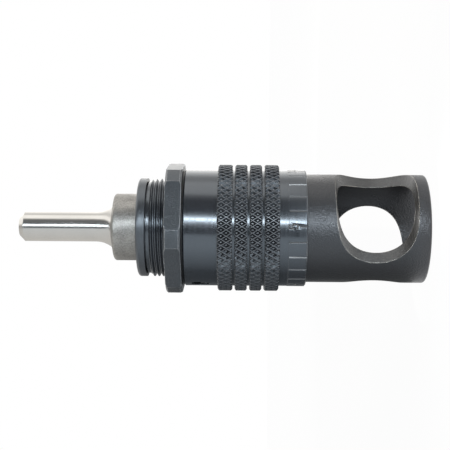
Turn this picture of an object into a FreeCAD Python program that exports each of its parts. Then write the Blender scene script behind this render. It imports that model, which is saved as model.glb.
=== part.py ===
import FreeCAD, Part
import math
import os

os.makedirs("parts", exist_ok=True)

# Driving dimensions in millimetres. Z runs up the tool axis: the nose face is at zero and the
# shank points up. The foot's windows face +Y and -Y.

# Clearances
running_clearance = 0.05
thread_clearance = 0.05
press_seat = 0.01
end_play = 0.05
face_play = 0.02

# Spindle
shank_radius = 3.175
shank_length = 19.95
shank_chamfer = 1.1
collar_radius = 7.15
collar_exposed = 5.75
collar_cone_rise = 0.45
collar_cone_step = 0.6
collar_round = 0.6
fillet_radius = 5.7
fillet_end_step = 1.325
shaft_radius = 4.75
shaft_chamfer = 0.4
nose_stand = 1.1
spindle_flange_width = 1.7
spindle_flange_clearance = 0.2
socket_radius = 2.75
socket_depth = 12.0
socket_mouth_chamfer = 0.4
drill_point_angle = 118.0
spindle_stroke = 5.0

# Rear needle bearing
cup_length = 7.5
cup_wall = 0.54
cup_lip_clearance = 0.15
cup_lip_thickness = 0.4
needle_radius = 0.42
needle_play = 0.06
needle_count = 20
needle_length = 5.0
needle_cage_length = 6.4
needle_cage_clearance = 0.07

# Thrust bearing and its carrier
race_thickness = 1.0
race_clearance = 0.3
race_bore_clearance = 0.1
ball_radius = 0.8
ball_count = 12
race_gap = 1.2
cage_thickness = 0.8
cage_half_width = 1.1
seat_flange_width = 2.2
seat_clearance = 0.1
seat_spigot_length = 1.8
seat_spigot_clearance = 0.15

# Return spring of square wire
spring_wire = 0.9
spring_turns = 3
spring_shaft_clearance = 1.0
spring_bore_clearance = 0.55
spring_well = 5.15

# Front bush
bush_wall = 1.39
bush_bore_length = 8.3
bush_flange_width = 1.2
bush_flange_clearance = 0.1

# Housing
guide_wall = 1.25
snout_step = 0.55
snout_chamfer = 0.4
thread_height = 0.65
thread_run_out = 0.3
relief_depth = 0.7
relief_width = 0.95
keyway_width = 2.0
keyway_floor_step = 0.05
keyway_angle = 60.0

# Rear cap and wiper
cap_skirt = 2.9
cap_skirt_wall = 0.49
cap_flange_width = 1.85
cap_round = 0.6
cap_bore_clearance = 0.1
cap_lip = 1.4
wiper_length = 2.0

# Foot: the windowed sleeve that stands on the work, with a threaded neck over the snout
foot_length = 25.2
foot_wall = 2.4
nose_round = 0.5
nose_bore_chamfer = 0.35
window_radius = 8.4
window_height = 10.95
post_half_width = 3.3
neck_wall = 1.25
neck_end_gap = 0.25
snout_relief = 0.3

# Lock ring: the knurled, keyed and graduated ring
ring_length = 25.55
ring_wall = 1.75
ring_edge_chamfer = 0.25
lip_depth = 1.7
lip_wall = 0.82
lip_clearance = 0.08
knurl_start = 5.7
knurl_length = 12.8
knurl_height = 1.05
knurl_chamfer = 0.3
band_count = 4
band_pitch = 3.08
band_groove = 0.5
slot_length = 3.8
slot_width = 2.0
slot_from_rear = 1.55
slot_angle = 162.3

# Key pin in the housing wall and the ring's slot
key_side_clearance = 0.05
key_inner_step = 0.1
key_outer_step = 0.2
key_chamfer = 0.15

# Detent between lock ring and foot: 24 clicks to the turn
detent_count = 24
detent_from_knurl = 1.0
detent_ball_radius = 0.6
detent_hole_depth = 2.4
detent_angle = -60.0
flute_radius = 0.9
flute_depth = 0.2
flute_length = 1.8
detent_wire = 0.2
detent_coil_radius = 0.45
detent_turns = 2

# Retaining ring between the foot's neck and the lock ring
retainer_from_detent = 1.1
retainer_to_neck_end = 2.15
retainer_thickness = 1.0
retainer_stand = 0.6
neck_groove_depth = 0.49
retainer_room = 0.1
retainer_gap_angle = 24.0

# Lock washer and lock nut
washer_thickness = 0.31
washer_step = 0.4
tongue_side_clearance = 0.06
nut_width = 3.4
nut_wall = 2.6
nut_corner_stand = 1.05
nut_bevel = 0.35
nut_flat_angle = 14.3
nut_travel = 3.0

# Radii, each worked out from the spindle outwards
cup_raceway_radius = collar_radius + 2 * needle_radius + needle_play
needle_pitch_radius = (collar_radius + cup_raceway_radius) / 2
bearing_bore_radius = cup_raceway_radius + cup_wall + press_seat
spindle_flange_radius = bearing_bore_radius - spindle_flange_clearance
race_bore_radius = shaft_radius + race_bore_clearance
race_outer_radius = bearing_bore_radius - race_clearance
ball_pitch_radius = (race_bore_radius + race_outer_radius) / 2
groove_radius = ball_radius + running_clearance
spring_coil_radius = shaft_radius + spring_shaft_clearance + spring_wire / 2
spring_bore_radius = spring_coil_radius + spring_wire / 2 + spring_bore_clearance
bush_bore_radius = shaft_radius + running_clearance + bush_wall + press_seat
guide_radius = bearing_bore_radius + guide_wall
snout_radius = guide_radius - snout_step
nut_thread_radius = guide_radius + thread_height
neck_radius = snout_radius + thread_clearance + neck_wall
ring_radius = neck_radius + running_clearance + ring_wall
knurl_radius = ring_radius + knurl_height
foot_radius = ring_radius - lip_wall - lip_clearance
foot_bore_radius = foot_radius - foot_wall
retainer_outer_radius = neck_radius + retainer_stand
key_radius = slot_width / 2 - key_side_clearance
nut_bore_radius = nut_thread_radius + thread_clearance
wiper_outer_radius = bearing_bore_radius - press_seat - cap_skirt_wall

# Heights, each worked out from the nose upwards, and inside the housing from its rear end down
ring_front = foot_length
ring_shoulder = ring_front + lip_depth
ring_rear = ring_front + ring_length
knurl_front = ring_front + knurl_start
detent_height = knurl_front + detent_from_knurl
retainer_front = detent_height + retainer_from_detent
retainer_rear = retainer_front + retainer_thickness
neck_rear = retainer_rear + retainer_to_neck_end
guide_front = neck_rear + neck_end_gap
slot_rear = ring_rear - slot_from_rear
slot_front = slot_rear - slot_length
key_height = slot_front + end_play + key_radius
washer_front = ring_rear + face_play
nut_front = washer_front + washer_thickness + face_play
nut_rear = nut_front + nut_width
nut_thread_front = ring_rear + washer_thickness / 2
nut_thread_rear = nut_rear + nut_travel + thread_run_out
housing_rear = nut_thread_rear + relief_width
cap_rear = housing_rear + cap_flange_width
wiper_rear = cap_rear - cap_lip
collar_rear = cap_rear + collar_exposed
shank_end = collar_rear + shank_length
cup_rear = housing_rear - cap_skirt
cup_front = cup_rear - cup_length
cup_middle = (cup_front + cup_rear) / 2
flange_rear = cup_front - end_play
flange_front = flange_rear - spindle_flange_width
upper_race_front = flange_front - race_thickness
ball_height = upper_race_front - race_gap / 2
lower_race_front = ball_height - race_gap / 2 - race_thickness
seat_front = lower_race_front - seat_flange_width
stop_shoulder = seat_front - spindle_stroke - end_play
bush_rear = stop_shoulder - spring_well
bush_bore_rear = bush_rear - bush_flange_width
snout_front = bush_bore_rear - bush_bore_length
spindle_nose = snout_front - nose_stand


def vector(radius, height):
    """The point at a radius and a height in the half plane that is turned about Z."""
    return FreeCAD.Vector(radius, 0, height)


def rounded_corner(before, corner, after, size):
    """The start, middle and end points of the arc that rounds one corner of an outline."""
    point = vector(*corner[:2])
    to_before = (vector(*before[:2]) - point).normalize()
    to_after = (vector(*after[:2]) - point).normalize()
    half_angle = to_before.getAngle(to_after) / 2
    tangent_length = size / math.tan(half_angle)
    bisector = (to_before + to_after).normalize()
    middle = point + bisector * (size / math.sin(half_angle) - size)
    return point + to_before * tangent_length, middle, point + to_after * tangent_length


def turned(corners):
    """A solid turned about Z from (radius, height) corners. A third value rounds its corner."""
    edges = []
    stops = []
    for index, corner in enumerate(corners):
        if len(corner) == 3:
            before = corners[index - 1]
            after = corners[(index + 1) % len(corners)]
            start, middle, end = rounded_corner(before, corner, after, corner[2])
            stops.append((start, Part.Arc(start, middle, end).toShape(), end))
        else:
            point = vector(*corner)
            stops.append((point, None, point))
    for index, (start, arc, end) in enumerate(stops):
        if arc:
            edges.append(arc)
        following = stops[(index + 1) % len(stops)][0]
        if end.distanceToPoint(following) > 1e-6:
            edges.append(Part.LineSegment(end, following).toShape())
    face = Part.Face(Part.Wire(edges))
    return face.revolve(FreeCAD.Vector(0, 0, 0), FreeCAD.Vector(0, 0, 1), 360)


def tube(inner_radius, outer_radius, bottom, top):
    """A plain tube about Z."""
    corners = [(inner_radius, bottom), (outer_radius, bottom), (outer_radius, top), (inner_radius, top)]
    return turned(corners)


def turned_about_axis(shape, angle):
    """A copy of a shape turned about the tool axis by an angle in degrees."""
    copy = shape.copy()
    copy.rotate(FreeCAD.Vector(0, 0, 0), FreeCAD.Vector(0, 0, 1), angle)
    return copy


def around(shape, count, first_angle=0.0):
    """Equally spaced copies of a shape about the tool axis, as a list."""
    return [turned_about_axis(shape, first_angle + 360.0 * step / count) for step in range(count)]


def radial_pin(radius, inner, outer, height):
    """A cylinder along X from an inner to an outer distance from the tool axis."""
    base = FreeCAD.Vector(inner, 0, height)
    return Part.makeCylinder(radius, outer - inner, base, FreeCAD.Vector(1, 0, 0))


def coil(wire, coil_radius, turns, bottom, top):
    """A square-wire spring about Z: a helix between two flat half turns."""
    half = wire / 2
    rise = top - bottom - wire
    corners = [(-half, -half), (half, -half), (half, half), (-half, half), (-half, -half)]
    points = [FreeCAD.Vector(coil_radius + x, 0, bottom + half + z) for x, z in corners]
    section = Part.makePolygon(points)
    axis = FreeCAD.Vector(0, 0, 1)
    first = Part.Face(section).revolve(FreeCAD.Vector(), axis, -180)
    last = Part.Face(section).revolve(FreeCAD.Vector(), axis, 180)
    last.translate(FreeCAD.Vector(0, 0, rise))
    path = Part.makeHelix(rise / turns, rise, coil_radius)
    path.translate(FreeCAD.Vector(0, 0, bottom + half))
    middle = path.makePipeShell([section], True, True)
    return middle.fuse([first, last])


def foot():
    """The sleeve that stands on the work: nose ring, two posts, skirt and threaded neck."""
    thread_radius = snout_radius + thread_clearance
    thread_front = snout_front - snout_relief
    shoulder = ring_shoulder - face_play
    retainer_floor = neck_radius - neck_groove_depth
    corners = [
        (foot_bore_radius + nose_bore_chamfer, 0),
        (foot_radius, 0, nose_round),
        (foot_radius, shoulder),
        (neck_radius, shoulder),
        (neck_radius, retainer_front),
        (retainer_floor, retainer_front),
        (retainer_floor, retainer_rear),
        (neck_radius, retainer_rear),
        (neck_radius, neck_rear),
        (thread_radius, neck_rear),
        (thread_radius, thread_front),
        (foot_bore_radius, thread_front),
        (foot_bore_radius, nose_bore_chamfer),
    ]
    body = turned(corners)
    cutters = [window_cutter(side) for side in (1, -1)]
    return body.cut(cutters + detent_flutes())


def window_cutter(side):
    """The cross-drilled cylinder that leaves the scalloped window on one side of the foot."""
    offset = side * (post_half_width + window_radius)
    base = FreeCAD.Vector(-2 * foot_radius, offset, window_height)
    return Part.makeCylinder(window_radius, 4 * foot_radius, base, FreeCAD.Vector(1, 0, 0))


def detent_flutes():
    """The shallow flutes round the foot's neck that the detent ball clicks over."""
    centre = neck_radius + flute_radius - flute_depth
    base = FreeCAD.Vector(centre, 0, detent_height - flute_length / 2)
    return around(Part.makeCylinder(flute_radius, flute_length, base), detent_count, detent_angle)


def lock_ring():
    """The knurled ring: front lip, knurl bands, retainer groove, rear guide bore and slot."""
    lip_radius = foot_radius + lip_clearance
    neck_bore = neck_radius + running_clearance
    guide_bore = guide_radius + running_clearance
    groove_front = retainer_front - retainer_room / 2
    groove_rear = retainer_rear + retainer_room / 2
    groove_floor = retainer_outer_radius + retainer_room
    neck_bore_rear = guide_front - end_play
    chamfer = ring_edge_chamfer
    outside = [(ring_radius - chamfer, ring_front), (ring_radius, ring_front + chamfer)]
    outside += knurl_outline()
    outside += [(ring_radius, ring_rear - chamfer), (ring_radius - chamfer, ring_rear)]
    inside = [
        (guide_bore, ring_rear),
        (guide_bore, neck_bore_rear),
        (neck_bore, neck_bore_rear),
        (neck_bore, groove_rear),
        (groove_floor, groove_rear),
        (groove_floor, groove_front),
        (neck_bore, groove_front),
        (neck_bore, ring_shoulder),
        (lip_radius, ring_shoulder),
        (lip_radius, ring_front),
    ]
    hole_radius = detent_ball_radius + running_clearance
    detent_hole = radial_pin(hole_radius, neck_radius, neck_radius + detent_hole_depth, detent_height)
    cutters = [turned_about_axis(slot_cutter(), slot_angle)]
    cutters.append(turned_about_axis(detent_hole, detent_angle))
    return turned(outside + inside).cut(cutters)


def knurl_outline():
    """The outline of the knurled zone, which narrow grooves part into bands."""
    rear = knurl_front + knurl_length
    first_groove = (knurl_front + rear - band_pitch * (band_count - 2)) / 2
    grooves = [first_groove + band_pitch * step for step in range(band_count - 1)]
    band_fronts = [knurl_front] + [groove + band_groove / 2 for groove in grooves]
    band_rears = [groove - band_groove / 2 for groove in grooves] + [rear]
    points = []
    for band_front, band_rear in zip(band_fronts, band_rears):
        points += [(ring_radius, band_front), (knurl_radius - knurl_chamfer, band_front)]
        points += [(knurl_radius, band_front + knurl_chamfer), (knurl_radius, band_rear - knurl_chamfer)]
        points += [(knurl_radius - knurl_chamfer, band_rear), (ring_radius, band_rear)]
    return points


def slot_cutter():
    """The round-ended slot through the ring's wall, along the axis, on the +X side."""
    half = slot_width / 2
    ends = [radial_pin(half, snout_radius, knurl_radius, slot_front + half)]
    ends.append(radial_pin(half, snout_radius, knurl_radius, slot_rear - half))
    corner = FreeCAD.Vector(snout_radius, -half, slot_front + half)
    middle = Part.makeBox(knurl_radius - snout_radius, slot_width, slot_length - slot_width, corner)
    return middle.fuse(ends).removeSplitter()


def foot_retaining_ring():
    """The split ring in the neck's groove that holds the foot in the lock ring."""
    inner = neck_radius - neck_groove_depth + press_seat
    ring = tube(inner, retainer_outer_radius, retainer_front, retainer_rear)
    width = 2 * retainer_outer_radius * math.sin(math.radians(retainer_gap_angle / 2))
    corner = FreeCAD.Vector(0, -width / 2, retainer_front)
    gap = Part.makeBox(2 * retainer_outer_radius, width, retainer_thickness, corner)
    return ring.cut(gap)


def detent_ball():
    """The ball that the detent spring holds at the neck's flutes."""
    centre = neck_radius + face_play + detent_ball_radius
    ball = Part.makeSphere(detent_ball_radius, FreeCAD.Vector(centre, 0, detent_height))
    return turned_about_axis(ball, detent_angle)


def detent_spring():
    """The small radial spring between the detent ball and the end of its hole."""
    bottom = neck_radius + 2 * face_play + 2 * detent_ball_radius
    top = neck_radius + detent_hole_depth
    spring = coil(detent_wire, detent_coil_radius, detent_turns, bottom, top)
    spring.rotate(FreeCAD.Vector(0, 0, 0), FreeCAD.Vector(0, 1, 0), 90)
    spring.translate(FreeCAD.Vector(0, 0, detent_height))
    return turned_about_axis(spring, detent_angle)


def housing():
    """The threaded body: snout, guide, nut thread and relief, with stepped bores inside."""
    corners = [
        (bush_bore_radius, snout_front),
        (snout_radius - snout_chamfer, snout_front),
        (snout_radius, snout_front + snout_chamfer),
        (snout_radius, guide_front),
        (guide_radius, guide_front),
        (guide_radius, nut_thread_front),
        (nut_thread_radius, nut_thread_front),
        (nut_thread_radius, nut_thread_rear),
        (nut_thread_radius - relief_depth, nut_thread_rear),
        (nut_thread_radius - relief_depth, housing_rear),
        (bearing_bore_radius, housing_rear),
        (bearing_bore_radius, stop_shoulder),
        (spring_bore_radius, stop_shoulder),
        (spring_bore_radius, bush_bore_rear),
        (bush_bore_radius, bush_bore_rear),
    ]
    key_hole = radial_pin(key_radius + press_seat, spring_bore_radius, nut_thread_radius, key_height)
    return turned(corners).cut([turned_about_axis(key_hole, slot_angle), keyway_cutter()])


def keyway_cutter():
    """The keyway along the nut thread."""
    base = FreeCAD.Vector(guide_radius + keyway_floor_step, -keyway_width / 2, nut_thread_front)
    length = housing_rear - nut_thread_front
    return turned_about_axis(Part.makeBox(thread_height, keyway_width, length, base), keyway_angle)


def key_pin():
    """The pin pressed into the housing wall, which keys the lock ring by its slot."""
    outer_end = ring_radius - key_outer_step
    pin = radial_pin(key_radius, bearing_bore_radius + key_inner_step, outer_end, key_height)
    end_edges = [edge for edge in pin.Edges if edge.BoundBox.XMin > outer_end - press_seat]
    return turned_about_axis(pin.makeChamfer(key_chamfer, end_edges), slot_angle)


def lock_washer():
    """The thin washer whose tongue runs in the housing's keyway."""
    outer = ring_radius - washer_step
    ring = tube(nut_bore_radius, outer, washer_front, washer_front + washer_thickness)
    width = keyway_width - 2 * tongue_side_clearance
    inner = guide_radius + keyway_floor_step + running_clearance
    corner = FreeCAD.Vector(inner, -width / 2, washer_front)
    tongue = Part.makeBox((nut_bore_radius + outer) / 2 - inner, width, washer_thickness, corner)
    return ring.fuse(turned_about_axis(tongue, keyway_angle)).removeSplitter()


def lock_nut():
    """The thin hexagonal nut, with six flats and the turned corners between them."""
    flat_distance = nut_thread_radius + nut_wall
    corner_radius = flat_distance + nut_corner_stand
    corners = [
        (nut_bore_radius + nut_bevel, nut_front),
        (corner_radius - nut_bevel, nut_front),
        (corner_radius, nut_front + nut_bevel),
        (corner_radius, nut_rear - nut_bevel),
        (corner_radius - nut_bevel, nut_rear),
        (nut_bore_radius + nut_bevel, nut_rear),
        (nut_bore_radius, nut_rear - nut_bevel),
        (nut_bore_radius, nut_front + nut_bevel),
    ]
    corner_reach = flat_distance / math.cos(math.radians(30))
    angles = [math.radians(nut_flat_angle + 30 + 60 * step) for step in range(7)]
    hexagon = [(corner_reach * math.cos(angle), corner_reach * math.sin(angle)) for angle in angles]
    outline = Part.makePolygon([FreeCAD.Vector(x, y, nut_front) for x, y in hexagon])
    prism = Part.Face(outline).extrude(FreeCAD.Vector(0, 0, nut_width))
    return turned(corners).common(prism)


def rear_cap():
    """The cap pressed in the housing's rear bore: rim flange, skirt and wiper recess."""
    bore = collar_radius + cap_bore_clearance
    skirt_radius = bearing_bore_radius - press_seat
    corners = [
        (wiper_outer_radius, cup_rear),
        (skirt_radius, cup_rear),
        (skirt_radius, housing_rear),
        (nut_thread_radius, housing_rear),
        (nut_thread_radius, cap_rear, cap_round),
        (bore, cap_rear),
        (bore, wiper_rear),
        (wiper_outer_radius, wiper_rear),
    ]
    return turned(corners)


def rear_wiper():
    """The felt ring in the cap that wipes the spindle's collar."""
    inner = collar_radius + running_clearance
    return tube(inner, wiper_outer_radius - press_seat, wiper_rear - wiper_length, wiper_rear)


def spindle():
    """The spindle: socketed nose, shaft, thrust flange, collar, fillet and shank."""
    turn = math.acos(1 - fillet_end_step / fillet_radius)
    fillet_rise = fillet_radius * (math.sin(turn) - math.tan(turn / 2))
    corners = [
        (0, spindle_nose),
        (shaft_radius - shaft_chamfer, spindle_nose),
        (shaft_radius, spindle_nose + shaft_chamfer),
        (shaft_radius, flange_front),
        (spindle_flange_radius, flange_front),
        (spindle_flange_radius, flange_rear),
        (collar_radius, flange_rear),
        (collar_radius, collar_rear - collar_cone_rise, collar_round),
        (collar_radius - collar_cone_step, collar_rear - collar_cone_rise),
        (shank_radius + fillet_end_step, collar_rear),
        (shank_radius, collar_rear + fillet_rise, fillet_radius),
        (shank_radius, shank_end - shank_chamfer),
        (shank_radius - shank_chamfer, shank_end),
        (0, shank_end),
    ]
    return turned(corners).cut(socket_cutter())


def socket_cutter():
    """The drilled hole in the spindle's nose for the cutter's thread."""
    mouth = spindle_nose + socket_mouth_chamfer
    floor = mouth + socket_depth
    point = socket_radius / math.tan(math.radians(drill_point_angle / 2))
    corners = [
        (0, spindle_nose),
        (socket_radius + socket_mouth_chamfer, spindle_nose),
        (socket_radius, mouth),
        (socket_radius, floor),
        (0, floor + point),
    ]
    return turned(corners)


def ball_groove():
    """The round groove that the thrust balls run in, as a ring to cut from a race."""
    return Part.makeTorus(ball_pitch_radius, groove_radius, FreeCAD.Vector(0, 0, ball_height))


def thrust_race(bottom):
    """One washer of the thrust bearing, with its ball groove."""
    race = tube(race_bore_radius, race_outer_radius, bottom, bottom + race_thickness)
    return race.cut(ball_groove())


def thrust_balls():
    """The thrust balls, as one group of separate solids."""
    centre = FreeCAD.Vector(ball_pitch_radius, 0, ball_height)
    return Part.makeCompound(around(Part.makeSphere(ball_radius, centre), ball_count))


def thrust_cage():
    """The flat cage that spaces the thrust balls."""
    bottom = ball_height - cage_thickness / 2
    inner = ball_pitch_radius - cage_half_width
    outer = ball_pitch_radius + cage_half_width
    plate = tube(inner, outer, bottom, bottom + cage_thickness)
    pocket = Part.makeCylinder(groove_radius, cage_thickness, FreeCAD.Vector(ball_pitch_radius, 0, bottom))
    return plate.cut(around(pocket, ball_count))


def spring_seat():
    """The flanged carrier between the return spring and the thrust bearing."""
    spigot_radius = spring_coil_radius - spring_wire / 2 - seat_spigot_clearance
    flange_radius = bearing_bore_radius - seat_clearance
    corners = [
        (race_bore_radius, seat_front - seat_spigot_length),
        (spigot_radius, seat_front - seat_spigot_length),
        (spigot_radius, seat_front),
        (flange_radius, seat_front),
        (flange_radius, lower_race_front),
        (race_bore_radius, lower_race_front),
    ]
    return turned(corners)


def front_bushing():
    """The flanged bronze bush that carries the spindle's shaft in the snout."""
    bore = shaft_radius + running_clearance
    outer = bush_bore_radius - press_seat
    flange = spring_bore_radius - bush_flange_clearance
    corners = [
        (bore, snout_front),
        (outer, snout_front),
        (outer, bush_bore_rear),
        (flange, bush_bore_rear),
        (flange, bush_rear),
        (bore, bush_rear),
    ]
    return turned(corners)


def return_spring():
    """The spring that pushes the spindle back after each cut."""
    return coil(spring_wire, spring_coil_radius, spring_turns, bush_rear, seat_front)


def needle_bearing_cup():
    """The drawn cup of the rear needle bearing, with a lip at each end."""
    outer = bearing_bore_radius - press_seat
    lip_radius = collar_radius + cup_lip_clearance
    corners = [
        (lip_radius, cup_front),
        (outer, cup_front),
        (outer, cup_rear),
        (lip_radius, cup_rear),
        (lip_radius, cup_rear - cup_lip_thickness),
        (cup_raceway_radius, cup_rear - cup_lip_thickness),
        (cup_raceway_radius, cup_front + cup_lip_thickness),
        (lip_radius, cup_front + cup_lip_thickness),
    ]
    return turned(corners)


def needle_blank(radius, length):
    """A cylinder on the needles' pitch circle, centred along the cup."""
    base = FreeCAD.Vector(needle_pitch_radius, 0, cup_middle - length / 2)
    return Part.makeCylinder(radius, length, base)


def rear_needles():
    """The needle rollers, as one group of separate solids."""
    return Part.makeCompound(around(needle_blank(needle_radius, needle_length), needle_count))


def rear_needle_cage():
    """The thin cage that spaces the needles."""
    inner = collar_radius + needle_cage_clearance
    outer = cup_raceway_radius - needle_cage_clearance
    half = needle_cage_length / 2
    sleeve = tube(inner, outer, cup_middle - half, cup_middle + half)
    pocket = needle_blank(needle_radius + running_clearance, needle_length + 2 * running_clearance)
    return sleeve.cut(around(pocket, needle_count))


nodes = {
    "foot": foot,
    "foot_retaining_ring": foot_retaining_ring,
    "lock_ring": lock_ring,
    "detent_ball": detent_ball,
    "detent_spring": detent_spring,
    "lock_washer": lock_washer,
    "lock_nut": lock_nut,
    "housing": housing,
    "key_pin": key_pin,
    "rear_cap": rear_cap,
    "rear_wiper": rear_wiper,
    "needle_bearing_cup": needle_bearing_cup,
    "rear_needles": rear_needles,
    "rear_needle_cage": rear_needle_cage,
    "front_bushing": front_bushing,
    "return_spring": return_spring,
    "spring_seat": spring_seat,
    "thrust_race_lower": lambda: thrust_race(lower_race_front),
    "thrust_balls": thrust_balls,
    "thrust_cage": thrust_cage,
    "thrust_race_upper": lambda: thrust_race(upper_race_front),
    "spindle": spindle,
}

for name, make in nodes.items():
    make().exportStep(f"parts/{name}.step")
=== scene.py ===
import logging
import math
from collections.abc import Callable, Collection, Sequence
from dataclasses import dataclass, replace
from enum import Enum

import bmesh
import bpy
from mathutils import Matrix, Vector


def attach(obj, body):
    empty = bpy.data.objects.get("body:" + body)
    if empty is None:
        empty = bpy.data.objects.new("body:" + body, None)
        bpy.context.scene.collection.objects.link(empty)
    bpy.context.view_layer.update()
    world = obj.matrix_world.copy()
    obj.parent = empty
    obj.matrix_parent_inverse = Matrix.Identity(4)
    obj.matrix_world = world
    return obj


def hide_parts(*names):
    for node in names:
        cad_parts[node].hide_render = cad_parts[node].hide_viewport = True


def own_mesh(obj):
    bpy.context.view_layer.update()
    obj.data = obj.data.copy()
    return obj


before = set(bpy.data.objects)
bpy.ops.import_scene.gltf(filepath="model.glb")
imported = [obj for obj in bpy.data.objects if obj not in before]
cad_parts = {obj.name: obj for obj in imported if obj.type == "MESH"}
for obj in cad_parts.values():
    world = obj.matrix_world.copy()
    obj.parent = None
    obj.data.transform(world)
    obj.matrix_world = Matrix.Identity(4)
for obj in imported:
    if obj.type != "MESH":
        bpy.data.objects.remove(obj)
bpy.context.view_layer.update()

log = logging.getLogger("countersink_cage")

MM = 0.001
TINY = 1e-6
LOOSE = 10 * TINY
CAMERA_AZIMUTH = -125.7
Colour = tuple[float, float, float]
Pair = tuple[float, float]
Form = bmesh.types.BMesh
Socket = bpy.types.NodeSocket


class Node(Enum):
    """The shader node kinds that the finishes and the studio use, without their common prefix."""

    OUTPUT = "OutputMaterial"
    WORLD_OUTPUT = "OutputWorld"
    BACKGROUND = "Background"
    PRINCIPLED = "BsdfPrincipled"
    EMISSION = "Emission"
    MIX_SHADER = "MixShader"
    LIGHT_PATH = "LightPath"
    COORDINATES = "TexCoord"
    VECTOR_MATH = "VectorMath"
    NOISE = "TexNoise"
    MAP_RANGE = "MapRange"
    MATH = "Math"
    MIX = "Mix"
    BEVEL = "Bevel"
    GEOMETRY = "NewGeometry"
    ATTRIBUTE = "Attribute"
    BUMP = "Bump"
    GROUP = "Group"


class Graph:
    """A node tree with short calls that place and feed its nodes."""

    def __init__(self, tree: bpy.types.NodeTree) -> None:
        """Keep the tree and empty it."""
        self.tree = tree
        tree.nodes.clear()

    def add(self, kind: Node, inputs: dict[int | str, object] | None = None,
            **settings: object) -> bpy.types.bpy_prop_collection:
        """Place one node.

        Args:
            kind: The kind of node.
            inputs: Sockets, numbers or colours for its inputs, by name or by number.
            settings: Values of the node's own properties.

        Returns:
            The new node's outputs.
        """
        node = self.tree.nodes.new(f"ShaderNode{kind.value}")
        for name, value in settings.items():
            setattr(node, name, value)
        for key, value in (inputs or {}).items():
            self.feed(node.inputs[key], value)
        return node.outputs

    def feed(self, target: Socket, value: object) -> None:
        """Feed one input.

        Args:
            target: The input.
            value: A socket to link to it, or its plain value.
        """
        if isinstance(value, Socket):
            self.tree.links.new(value, target)
        else:
            target.default_value = value

    def maths(self, operation: str, first: object, second: object = 0.0) -> Socket:
        """Place a Math node and give its result."""
        return self.add(Node.MATH, {0: first, 1: second}, operation=operation)[0]

    def vectors(self, operation: str, first: object, second: object = (0.0, 0.0, 0.0),
                result: str = "Vector") -> Socket:
        """Place a Vector Math node and give one of its results."""
        return self.add(Node.VECTOR_MATH, {0: first, 1: second}, operation=operation)[result]

    def ranged(self, value: object, low: object, high: object,
               to_low: object = 0.0, to_high: object = 1.0) -> Socket:
        """Map a value, clamped, from the range low to high to the range to_low to to_high."""
        ends = {"From Min": low, "From Max": high, "To Min": to_low, "To Max": to_high}
        return self.add(Node.MAP_RANGE, {"Value": value, **ends})["Result"]

    def noise(self, stretch: Sequence[float], scale: object, detail: float = 3.0) -> Socket:
        """Give noise in object space, its axes stretched and its scale per metre."""
        place = self.vectors("MULTIPLY", self.add(Node.COORDINATES)["Object"], stretch)
        return self.add(Node.NOISE, {"Vector": place, "Scale": scale, "Detail": detail})["Fac"]

    def blend(self, factor: object, first: object, second: object) -> Socket:
        """Mix two colours, where the factor says how much of the second shows."""
        return self.add(Node.MIX, {0: factor, 6: first, 7: second}, data_type="RGBA")[2]


def new_material(name: str) -> tuple[bpy.types.Material, Graph]:
    """Start a material.

    Args:
        name: The material's name.

    Returns:
        The material and its empty graph.
    """
    material = bpy.data.materials.new(name)
    material.use_nodes = True
    return material, Graph(material.node_tree)


EVEN = (1.0, 1.0, 1.0)
ALONG_AXIS = (0.02, 0.02, 1.0)
MILLING_STRETCH = (1.0, 0.15, 1.0)
MILLING_SCALE = 2600.0
FINE_DETAIL = 2.0
CLOUD_DETAIL = 4.0
MIDDLING = (0.3, 0.7)
NARROWER = (0.35, 0.65)
PATCHY = (0.36, 0.62)
PATCH_SCALE = 900.0
LEAST_PATCH = 0.25
TURNED_TO_MILLED = (0.97, 0.8)
LEAST_MARK = 0.55
BEVEL_SAMPLES = 8
DARKER_SHARE = 0.45


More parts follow.
